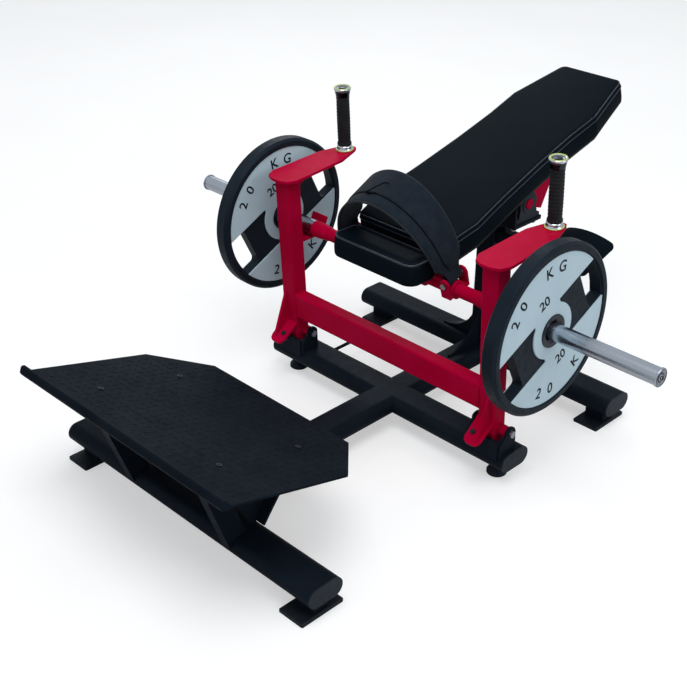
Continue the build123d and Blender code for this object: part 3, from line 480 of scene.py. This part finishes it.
def pad_outline():
    """The plan of the back pad as closely spaced (point, inward normal) pairs, its corners rounded."""
    plan = [(Vector((x, y)), r) for x, y, r in PAD_PLAN]
    plan += [(Vector((-p.x, p.y)), r) for p, r in reversed(plan)]
    n, line = len(plan), []
    for i, (c, r) in enumerate(plan):
        d, e = (c - plan[i - 1][0]).normalized(), (plan[(i + 1) % n][0] - c).normalized()
        turn = d.x * e.y - d.y * e.x
        cut = abs(r * math.tan(math.asin(max(-1, min(1, turn))) / 2)) if d.dot(e) > 0 else r
        a, b = c - d * cut, c + e * cut
        for k in range(11):
            f = k / 10
            line.append(a.lerp(c, f).lerp(c.lerp(b, f), f))
    fine = []
    for i, p in enumerate(line):
        q = line[(i + 1) % len(line)]
        parts = max(1, int((q - p).length / 6))
        fine += [p.lerp(q, k / parts) for k in range(parts)]
    pairs = []
    for i, p in enumerate(fine):
        t = (fine[(i + 1) % len(fine)] - fine[i - 1]).normalized()
        pairs.append((p, Vector((-t.y, t.x))))
    return pairs


def build_back_pad():
    """Firm cushion: flat top with a rolled edge and a piped strip under it, sides that fall straight."""
    pairs = pad_outline()
    base, side = -PAD_DEPTH, [(-0.6, -52), (-1.0, -40), (-0.8, -30), (-0.2, -22)]
    strip = [(0.6, -17.5), (1.6, -15.6), (1.9, -14.4), (0.8, -12.6), (0.2, -10.5)]
    edge = [(0.6, -8.0), (1.8, -5.2), (3.6, -3.4), (4.6, -2.8), (5.2, -2.2), (6.4, -1.2), (8.4, -0.4),
            (11, 0.0)]
    levels = [(8, base), (2.5, base + 1), (0.8, base + 3.5), (0.2, base + 8)] + side + strip + edge
    rings = []
    for inset, z in levels:
        rings.append([(p.x + m.x * inset, p.y + m.y * inset, z) for p, m in pairs])
    for f in (0.08, 0.18, 0.32, 0.5, 0.7, 0.9):
        ring = []
        for x, y, z in rings[len(levels) - 1]:
            along = y + (min(max(y, 110), 715) - y) * f
            ring.append((x * (1 - f), along, 2.4 * math.sin(math.pi / 2 * f)))
        rings.append(ring)
    chance = random.Random(4)
    phase = [chance.uniform(0, math.tau) for _ in range(4)]
    placed = []
    for ring in rings:
        out = []
        for x, y, z in ring:
            soft = 0.18 * math.sin(y / 31 + phase[0]) * math.sin(x / 27 + phase[1]) if z > -3 else \
                0.35 * math.sin(y / 19 + phase[2] + z / 13) * (1 if -50 < z < -18 else 0)
            out.append(PAD.at(x + (soft if z < -10 else 0), y, z + (soft if z > -3 else 0)))
        placed.append(out)
    obj = build("back_cushion", *skin(placed, capped=True), "upholstery", "lever")
    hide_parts("back_pad")
    # real seam cords; their lighter bluish colour is a painted highlight along the pad edge
    for tag, inset, z, radius in (("upper", 3.6, -1.9, 1.7), ("lower", 0.4, -14.2, 1.9)):
        line = [PAD.at(p.x + m.x * inset, p.y + m.y * inset, z) for p, m in pairs]
        tube(f"back_piping_{tag}", line, radius, "piping", "lever")


def build_hip_pad():
    """Small stuffed cushion on the bar, with a soft roll around its upper edge."""
    corners = [(-146, -64.5, 34), (146, -64.5, 34), (146, 38, 26), (-146, 38, 26)]
    cushion("hip_cushion", corners, 62, 17, 1.5, HIP.at, "lever", ["hip_pad"], seed=5, reach=36)
    # the roll's lighter bluish colour is a painted highlight along the pad's upper edge
    roll = [HIP.at(p.x, p.y, -5.6) for p in rounded(corners, 4.8)]
    tube("hip_roll", roll, 3.2, "piping", "lever", sides=12)


def build_elbow_rests():
    """Thin pads bent over the arms; both stand for the one CAD node, which the right one replaces."""
    length, corner = 75, 16
    corners = [(-REST_HALF, -length, corner), (REST_HALF, -length, corner), (REST_HALF, length, corner),
               (-REST_HALF, length, corner)]
    for side, tag in SIDES:
        def place(x, y, z, side=side):
            a, r = x / REST_RADIUS, REST_RADIUS + z
            return REST.at(side * REST_X + r * math.sin(a), y, r * math.cos(a) - REST_RADIUS)
        cushion(f"elbow_cushion_{tag}", corners, 15, 6, 0.0, place, "base_frame",
                ["elbow_rests"] if side > 0 else [], seed=7 + side, reach=52, pucker=0.2)


BELT_A, BELT_B, BELT_LEAN = 178.0, 215.0, math.tan(math.radians(10.6))     # half axes, lean of the arch
BELT_FRONT, BELT_REAR, LOOP_HALF = 62.0, 58.0, 26.5                         # reach at the top, of the loop


def belt_shift(w, h):
    """How far the leaning arch moves a point up, from its reach and its height over the pins."""
    return BELT_LEAN * w * min(1, max(0, (h - 8) / 40))


def belt_half(height, top, middle=48.0, foot=27.0):
    """Reach of the belt to one side of its pin line, at a height over the pins."""
    if height < 22:
        return foot
    if height < 60:
        f = (height - 22) / 38
        return foot + (middle - foot) * (f * f * (3 - 2 * f))
    return middle + (top - middle) * min(1, (height - 60) / 150)


def belt_path():
    """Centre line of the belt in its own plane: (x, height, thickness, part of the loop or not)."""
    pin_x, bend = 184, 7.6
    side = [(171.5, 44, 2.6, 1), (172.2, 28, 2.6, 1), (174.2, 12, 2.6, 1)]
    for k in range(9):
        a = math.pi + math.pi * k / 8
        side.append((pin_x + bend * math.cos(a), bend * math.sin(a), 2.6, 1))
    side += [(190.0, 8, 2.6, 1), (186.0, 18, 3.0, 1), (181.6, 29, 4.0, 0), (178.0, 40, 5.5, 0)]
    start = math.asin(52 / BELT_B)
    arch = [(BELT_A * math.cos(a), BELT_B * math.sin(a), 6.6, 0)
            for a in [start + (math.pi - 2 * start) * k / 96 for k in range(97)]]
    return side + arch + [(-x, h, t, l) for x, h, t, l in reversed(side)]


def band_rings(path, lift, thick, front, rear, sides=7):
    """Cross sections of a flat band along a path, its edges rounded and, where it is thick, stitched."""
    rings = []
    for i, (x, h, t, looped) in enumerate(path):
        a, b = path[max(i - 1, 0)], path[min(i + 1, len(path) - 1)]
        d = Vector((b[0] - a[0], b[1] - a[1])).normalized()
        normal = Vector((d.y, -d.x))
        half = thick(i, t) / 2
        w0, w1 = -front(h, looped), rear(h, looped)
        ring = []
        for up in (1, -1):
            for k in range(sides * 4 + 1):
                f = k / (sides * 4)
                w = w0 + (w1 - w0) * (f if up > 0 else 1 - f)
                near = min(w - w0, w1 - w)
                soft = math.sqrt(max(0.0, 1 - (1 - min(1, near / (half * 1.6))) ** 2))
                dent = 0.9 * math.exp(-((near - 9) / 1.3) ** 2)
                out = lift(t) + up * max(0.05, half * soft - (dent if half > 2.2 else 0))
                px, ph = x + normal.x * out, h + normal.y * out
                ring.append(BELT.at(px, w, ph + belt_shift(w, h)))
        rings.append(ring)
    return rings


def build_belt():
    """The padded hip belt, a strap along the outside of its arch, bound edges and dark stitching."""
    path = belt_path()
    rings = band_rings(path, lambda t: 0.0, lambda i, t: t,
                       lambda h, looped: LOOP_HALF if looped else belt_half(h, BELT_FRONT),
                       lambda h, looped: LOOP_HALF if looped else belt_half(h, BELT_REAR))
    belt = build("hip_belt", *skin(rings, capped=True), "webbing", "lever")
    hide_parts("belt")

    arch = path[14:-14]
    count = len(arch) - 1

    def strap_front(h, looped=0):
        return 18 + 11 * min(1, (h - 60) / 150) if h > 60 else 6 + 12 * max(0, h - 20) / 40

    def strap_thick(i, t):
        return 2.8 * min(1.0, 0.25 + min(i, count - i) / 3)

    rings = band_rings(arch, lambda t: t / 2 + 1.1, strap_thick, strap_front,
                       lambda h, looped: belt_half(h, BELT_REAR) - 1.5)
    strap = build("hip_belt_strap", *skin(rings, capped=True), "webbing", "lever")
    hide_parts("belt_strap")

    for tag, edge, reach in (("front", -1, BELT_FRONT), ("rear", 1, BELT_REAR)):
        line = []
        for x, h, _, _ in path[16:-16]:
            w = edge * (belt_half(h, reach) - 0.4)
            line.append(BELT.at(x, w, h + belt_shift(w, h)))
        tube(f"belt_binding_{tag}", line, 3.1, "binding", "lever", loop=False)

    # the stitched end of the strap: a hooked seam on top of the arch
    lift = 1 + 6.4 / BELT_B
    hook = [(-45, -31), (-41, -28), (-36, -21), (-29, -11), (-22, -2), (-18, 5), (-13, 9), (-6, 10), (0, 8)]
    tail = [(-45, -31), (-37, -36), (-27, -37), (-19, -33), (-13, -29)]
    for tag, marks in (("hook", hook), ("tail", tail)):
        line = []
        for x, w in marks:
            h = BELT_B * math.sqrt(1 - (x / BELT_A) ** 2) * lift
            line.append(BELT.at(x * lift, w, h + BELT_LEAN * w))
        tube(f"belt_{tag}", line, 1.5, "dark_seam", "lever", loop=False)
    line = []
    for x, h, _, _ in arch[1:-1]:
        w = -strap_front(h) - 0.8
        line.append(BELT.at(x * 1.021, w, h * 1.018 + belt_shift(w, h)))
    tube("belt_seam", line, 1.3, "dark_seam", "lever", loop=False)


# ------------------------------------------------------------------ hard details
TREAD_HALF, TREAD_FRONT, TREAD_BACK = 366, -90, 378       # field of the tread on the platform
CUT_START, CUT_SLOPE = 245, 0.93                          # its rear corners are cut off
TREAD_BOLTS = [(x, y) for x in (-220, 220) for y in (0, 243)]


def build_tread():
    """Raised lozenges of the tread plate, turned alternately and left out around the bolts."""
    pitch, long_half, wide_half, high = 23.0, 8.5, 3.0, 0.8
    verts, faces = [], []
    shape = [(math.cos(k * math.tau / 12), math.sin(k * math.tau / 12)) for k in range(12)]
    for row in range(-4, 17):
        for col in range(-16, 17):
            x, y = col * pitch, row * pitch
            limit = TREAD_HALF if y < CUT_START else TREAD_HALF - (y - CUT_START) * CUT_SLOPE
            if abs(x) > limit - 4 or not TREAD_FRONT < y < TREAD_BACK:
                continue
            if any(math.hypot(x - bx, y - by) < 17 for bx, by in TREAD_BOLTS):
                continue
            turn = math.radians(45 if (row + col) % 2 else -45)
            base = len(verts)
            for scale, z in ((1.0, -0.3), (0.82, high * 0.7), (0.45, high)):
                for cx, cy in shape:
                    lx = math.copysign(abs(cx) ** 1.15, cx) * long_half * scale
                    ly = math.copysign(abs(cy) ** 1.15, cy) * wide_half * scale
                    verts.append(PLATFORM.at(x + lx * math.cos(turn) - ly * math.sin(turn),
                                             y + lx * math.sin(turn) + ly * math.cos(turn), z))
            for ring in range(2):
                for k in range(12):
                    m = (k + 1) % 12
                    a = base + ring * 12
                    faces.append((a + k, a + m, a + 12 + m, a + 12 + k))
            faces.append(tuple(base + 24 + k for k in range(12)))
    build("tread_pattern", verts, faces, "platform_black", "base_frame")


def build_handles():
    """Turned grips with chrome feet and caps; each profile is (radius, height along the handle)."""
    z0, z1 = GRIP_Z0, GRIP_Z1
    grips, metal, lime_rings = [], [], []
    for side, tag in SIDES:
        def place(x, y, z, side=side):
            return RACK.at(side * RACK_X + x, HANDLE_Y + y, z)
        body = [(10.2, z0), (20.0, z0 + 0.6), (20.4, z0 + 3), (20.0, z0 + 6), (18.3, z0 + 8)]
        count = 60
        for k in range(count + 1):
            f = k / count
            body.append((18.0 + 0.45 * math.cos(f * math.pi * 26) + 0.5 * math.sin(math.pi * f),
                         z0 + 9 + (z1 - z0 - 14) * f))
        body += [(18.6, z1 - 3), (18.8, z1 - 1), (10.2, z1)]
        grips.append(lathe(f"grip_{tag}", body, place, "grip", "rack", 64))
        foot = [(10.1, HANDLE_FOOT), (24.2, HANDLE_FOOT), (24.4, 492.0), (22.0, 493.4), (21.6, 499.0),
                (21.0, 502.0), (19.0, 504.6), (10.1, 504.8)]
        metal.append(lathe(f"grip_foot_{tag}", foot, place, "chrome", "rack"))
        collar = [(10.1, z1 + 0.2), (18.8, z1 + 0.3), (19.2, z1 + 3), (20.0, z1 + 9), (21.4, z1 + 15),
                  (22.4, z1 + 18.8), (10.1, z1 + 19.0)]
        lathe(f"grip_collar_{tag}", collar, place, "dark_chrome", "rack")
        cap = [(10.1, z1 + 19.0), (22.6, z1 + 19.2), (23.8, z1 + 21.5), (24.0, z1 + 24.6),
               (23.0, z1 + 26.8), (21.0, z1 + 27.6), (18.8, z1 + 27.4), (17.4, z1 + 25.4),
               (10.1, z1 + 24.0)]
        metal.append(lathe(f"grip_cap_{tag}", cap, place, "chrome", "rack"))
        dish = [(17.6, z1 + 24.4), (17.3, z1 + 25.5), (14.5, z1 + 25.2), (13.8, z1 + 24.6),
                (9.5, z1 + 24.5), (8.8, z1 + 25.6), (4.0, z1 + 25.9), (0.5, z1 + 25.9)]
        lathe(f"grip_dish_{tag}", dish, place, "dark_chrome", "rack")
        ring = [(23.7, 490.0), (25.0, 490.2), (25.3, 491.2), (25.0, 492.2), (23.7, 492.4)]
        lime_rings.append(lathe(f"lime_ring_foot_{tag}", ring, place, "ring_lime", "rack", hollow=True))
        ring = [(22.6, z1 + 27.0), (22.3, z1 + 28.1), (20.8, z1 + 28.6), (19.2, z1 + 28.0),
                (19.0, z1 + 27.0)]
        lime_rings.append(lathe(f"lime_ring_cap_{tag}", ring, place, "ring_lime", "rack", hollow=True))
    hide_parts("handle_grips")
    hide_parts("handle_ferrules")
    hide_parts("handle_rings")


def numeral(name, word, size, centre, up, out, body):
    """One raised character or number lying on a plate face."""
    curve = bpy.data.curves.new(name, "FONT")
    curve.body, curve.size, curve.extrude, curve.offset = word, size * MM, 0.00025, 0.0007
    curve.align_x, curve.align_y = "CENTER", "CENTER"
    text = bpy.data.objects.new(name, curve)
    SCENE.collection.objects.link(text)
    across = up.cross(out)
    turn = Matrix((across, up, out)).transposed().to_4x4()
    bpy.context.view_layer.update()
    mesh = bpy.data.meshes.new_from_object(text)
    mesh.transform(Matrix.Translation(centre * MM) @ turn)
    bpy.data.objects.remove(text)
    obj = bpy.data.objects.new(name, mesh)
    SCENE.collection.objects.link(obj)
    obj.data.materials.clear()
    obj.data.materials.append(MATS["plate_rubber"])
    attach(obj, body)


def build_numerals():
    """Weight marks: spaced characters along both pale segments, and a small number beside the hub."""
    tilt = math.radians(PLATE_TURN)
    marks = [("2", 38), ("0", 22), ("K", -14), ("G", -31)]         # character, degrees from the middle
    ring, inner_ring = 168, 98
    for side, tag in SIDES:
        body = "weight_l" if side < 0 else "weight_r"
        for face in (-1, 1):
            out = Vector((face, 0, 0))
            where = "in" if face * side < 0 else "out"
            centre = Vector((side * PLATE_X + face * PLATE_HALF, BAR_Y, BAR_Z))
            for half in (0, 1):
                middle = tilt + math.pi / 2 + math.pi * half
                way = 1 if half == 0 else -1
                for k, (mark, degrees) in enumerate(marks):
                    a = middle + face * math.radians(degrees) * way
                    spoke = Vector((0, math.cos(a), math.sin(a)))
                    numeral(f"mark_{tag}_{where}_{half}_{k}", mark, 41, centre + spoke * ring,
                            spoke * way, out, body)
                spoke = Vector((0, math.cos(middle), math.sin(middle)))
                numeral(f"number_{tag}_{where}_{half}", "20", 38, centre + spoke * inner_ring,
                        spoke * way, out, body)


def build_sleeve_ends():
    """Turned grooves and a centre screw on the face of each sleeve cap; the near-black cords in the grooves
    are painted shade.
    """
    # ring radius, cord radius, distance from the middle of the machine, finish
    grooves = [(21.6, 0.9, 796.6, "dark_seam"), (17.6, 0.7, 797, "dark_seam"),
               (11.5, 1.4, 795.8, "dark_chrome"), (5.2, 1.1, 797, "dark_seam")]
    for side, tag in SIDES:
        body = "sleeve_l" if side < 0 else "sleeve_r"
        # the near-black groove cords are painted shade inside the turned grooves
        for k, (radius, cord, x, finish) in enumerate(grooves):
            ring = [Vector((side * x, BAR_Y + radius * math.cos(a), BAR_Z + radius * math.sin(a))) * MM
                    for a in [i / 48 * math.tau for i in range(48)]]
            tube(f"cap_ring_{tag}_{k}", ring, cord, finish, body)


def squared_loop(count, power, half_u, half_v):
    """Points around a rounded rectangle, the lower the power the squarer."""
    points = []
    for k in range(count):
        a = k / count * math.tau
        c, s = math.cos(a), math.sin(a)
        points.append((math.copysign(abs(c) ** power * half_u, c),
                       math.copysign(abs(s) ** power * half_v, s)))
    return points


def build_welds():
    """Beads where the rack beam meets its uprights and the post meets the floor frame."""
    beam_y, beam_z, half_deep, half_high = -11, 92, 20.4, 38.4
    for side, tag in SIDES:
        x = side * (RACK_X - 26.4)
        line = [RACK.at(x, beam_y + u, beam_z + v) for u, v in squared_loop(72, 0.35, half_deep, half_high)]
        tube(f"beam_weld_{tag}", line, 1.7, "rack_red", "rack", wobble=0.2, seed=11 + side)
    half_post, foot_z = 30.6, 94.6
    line = [Vector((u, POST_Y + v, foot_z)) * MM for u, v in squared_loop(80, 0.3, half_post, half_post)]
    tube("post_weld", line, 2.0, "frame_black", "base_frame", wobble=0.2, seed=15)


build_back_pad()
build_hip_pad()
build_elbow_rests()
build_belt()
build_tread()
build_handles()
build_numerals()
build_sleeve_ends()
build_welds()


# ------------------------------------------------------------------ stage, lights and camera
def area_light(name, place, target, size, power):
    data = bpy.data.lights.new(name, "AREA")
    data.shape, data.size, data.energy = "DISK", size, power
    lamp = bpy.data.objects.new(name, data)
    SCENE.collection.objects.link(lamp)
    lamp.location = place
    lamp.rotation_euler = (Vector(target) - Vector(place)).to_track_quat("-Z", "Y").to_euler()


def build_stage():
    """White paper to the horizon, an even sky and three soft lamps."""
    bm = bmesh.new()
    bmesh.ops.create_grid(bm, x_segments=1, y_segments=1, size=14)
    mesh = bpy.data.meshes.new("floor")
    bm.to_mesh(mesh)
    bm.free()
    floor = bpy.data.objects.new("floor", mesh)
    SCENE.collection.objects.link(floor)
    s = Shader("floor_paper", (0.60, 0.60, 0.60), 0.9)
    s.tint(s.noise(2, 3), (0.59, 0.59, 0.59), (0.61, 0.61, 0.61))
    # lit from below for the camera only, so the paper reads white and lights nothing
    s.bsdf.inputs["Emission Color"].default_value = (1, 1, 1, 1)
    seen = s.node("ShaderNodeLightPath").outputs["Is Camera Ray"]
    s.link(s.span(seen, 0.0, 0.46), s.bsdf.inputs["Emission Strength"])
    floor.data.materials.append(s.mat)
    floor.location.z = -0.0005

    world = bpy.data.worlds.new("studio")
    SCENE.world = world
    world.use_nodes = True
    sky = world.node_tree.nodes["Background"]
    sky.inputs["Color"].default_value = (0.90, 0.95, 1.0, 1)
    sky.inputs["Strength"].default_value = 0.62

    area_light("key", (0.9, -1.1, 3.8), (0, 0, 0.3), 2.4, 66)
    area_light("fill", (3.2, 0.8, 2.2), (0, 0, 0.4), 2.2, 18)
    area_light("rim", (-2.6, 2.4, 2.8), (0, 0, 0.5), 2.0, 22)


def build_camera():
    """A camera about two metres out, in front and to the right, turned by a slight roll."""
    azimuth, elevation, roll = math.radians(44.93), math.radians(29.84), math.radians(0.45)
    back = Vector((math.sin(azimuth) * math.cos(elevation), -math.cos(azimuth) * math.cos(elevation),
                   math.sin(elevation)))
    right = Vector((0, 0, 1)).cross(back).normalized()
    up = back.cross(right)
    side = math.cos(roll) * right + math.sin(roll) * up
    top = -math.sin(roll) * right + math.cos(roll) * up
    data = bpy.data.cameras.new("photo_view")
    data.sensor_width, data.lens = 36, 64.45
    camera = bpy.data.objects.new("photo_view", data)
    SCENE.collection.objects.link(camera)
    spot = Vector((1.9596, -2.1188, 1.9019))
    rotation = Matrix((side, top, back)).transposed().to_4x4()
    camera.matrix_world = Matrix.Translation(spot) @ rotation
    SCENE.camera = camera
    bpy.context.scene.camera = camera


build_stage()
build_camera()
SCENE.view_settings.view_transform = "Standard"
